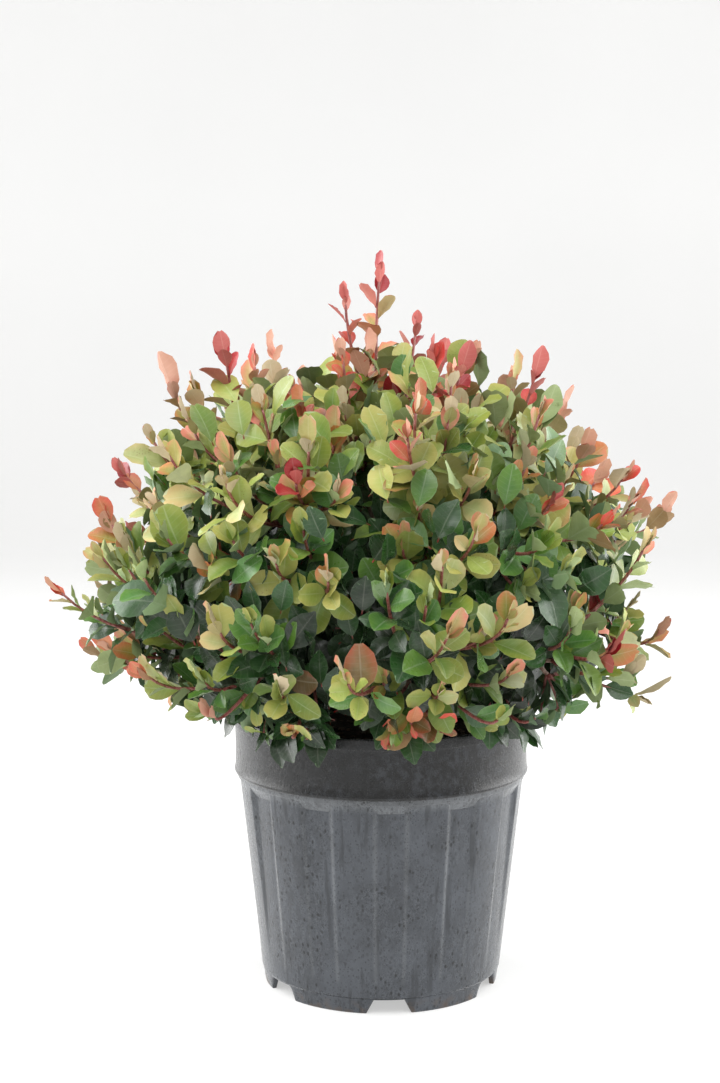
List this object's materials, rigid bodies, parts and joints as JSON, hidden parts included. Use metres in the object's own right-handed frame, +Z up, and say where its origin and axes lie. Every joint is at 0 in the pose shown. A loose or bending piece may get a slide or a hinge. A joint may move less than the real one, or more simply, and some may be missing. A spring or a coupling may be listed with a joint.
{
  "type": "potted little red robin photinia shrub",
  "caption": "Dense young evergreen photinia shrub with red and coral young leaves over green ones, on a short branching stem in a fluted dark grey nursery pot.",
  "frame": {"origin": "middle of the pot's underside, on the pot's axis and on the surface that the pot stands on", "axes": "+Z up the pot's axis towards the top shoot, -Y towards the front that the picture shows, +X to the viewer's right"},
  "size_m": [0.61, 0.5992, 0.6977],
  "materials": {
    "pot_plastic": "satin",
    "peat": "matte",
    "stem_bark": "matte",
    "bough_bark": "satin",
    "young_foliage": "satin",
    "yellow_green_foliage": "satin",
    "dark_green_foliage": "satin"
  },
  "bodies": {
    "root": {"pot": "pot_plastic", "soil": "peat", "stem": "stem_bark", "top_bough": "bough_bark", "upper_1_bough": "bough_bark", "upper_2_bough": "bough_bark", "upper_3_bough": "bough_bark", "upper_4_bough": "bough_bark", "upper_5_bough": "bough_bark", "lower_1_bough": "bough_bark", "lower_2_bough": "bough_bark", "lower_3_bough": "bough_bark", "lower_4_bough": "bough_bark", "lower_5_bough": "bough_bark", "lower_6_bough": "bough_bark", "lower_7_bough": "bough_bark", "lower_8_bough": "bough_bark", "top_foliage": "young_foliage", "upper_1_foliage": "yellow_green_foliage", "upper_2_foliage": "yellow_green_foliage", "upper_3_foliage": "yellow_green_foliage", "upper_4_foliage": "yellow_green_foliage", "upper_5_foliage": "yellow_green_foliage", "lower_1_foliage": "dark_green_foliage", "lower_2_foliage": "dark_green_foliage", "lower_3_foliage": "dark_green_foliage", "lower_4_foliage": "dark_green_foliage", "lower_5_foliage": "dark_green_foliage", "lower_6_foliage": "dark_green_foliage", "lower_7_foliage": "dark_green_foliage", "lower_8_foliage": "dark_green_foliage"}
  },
  "joints": []
}
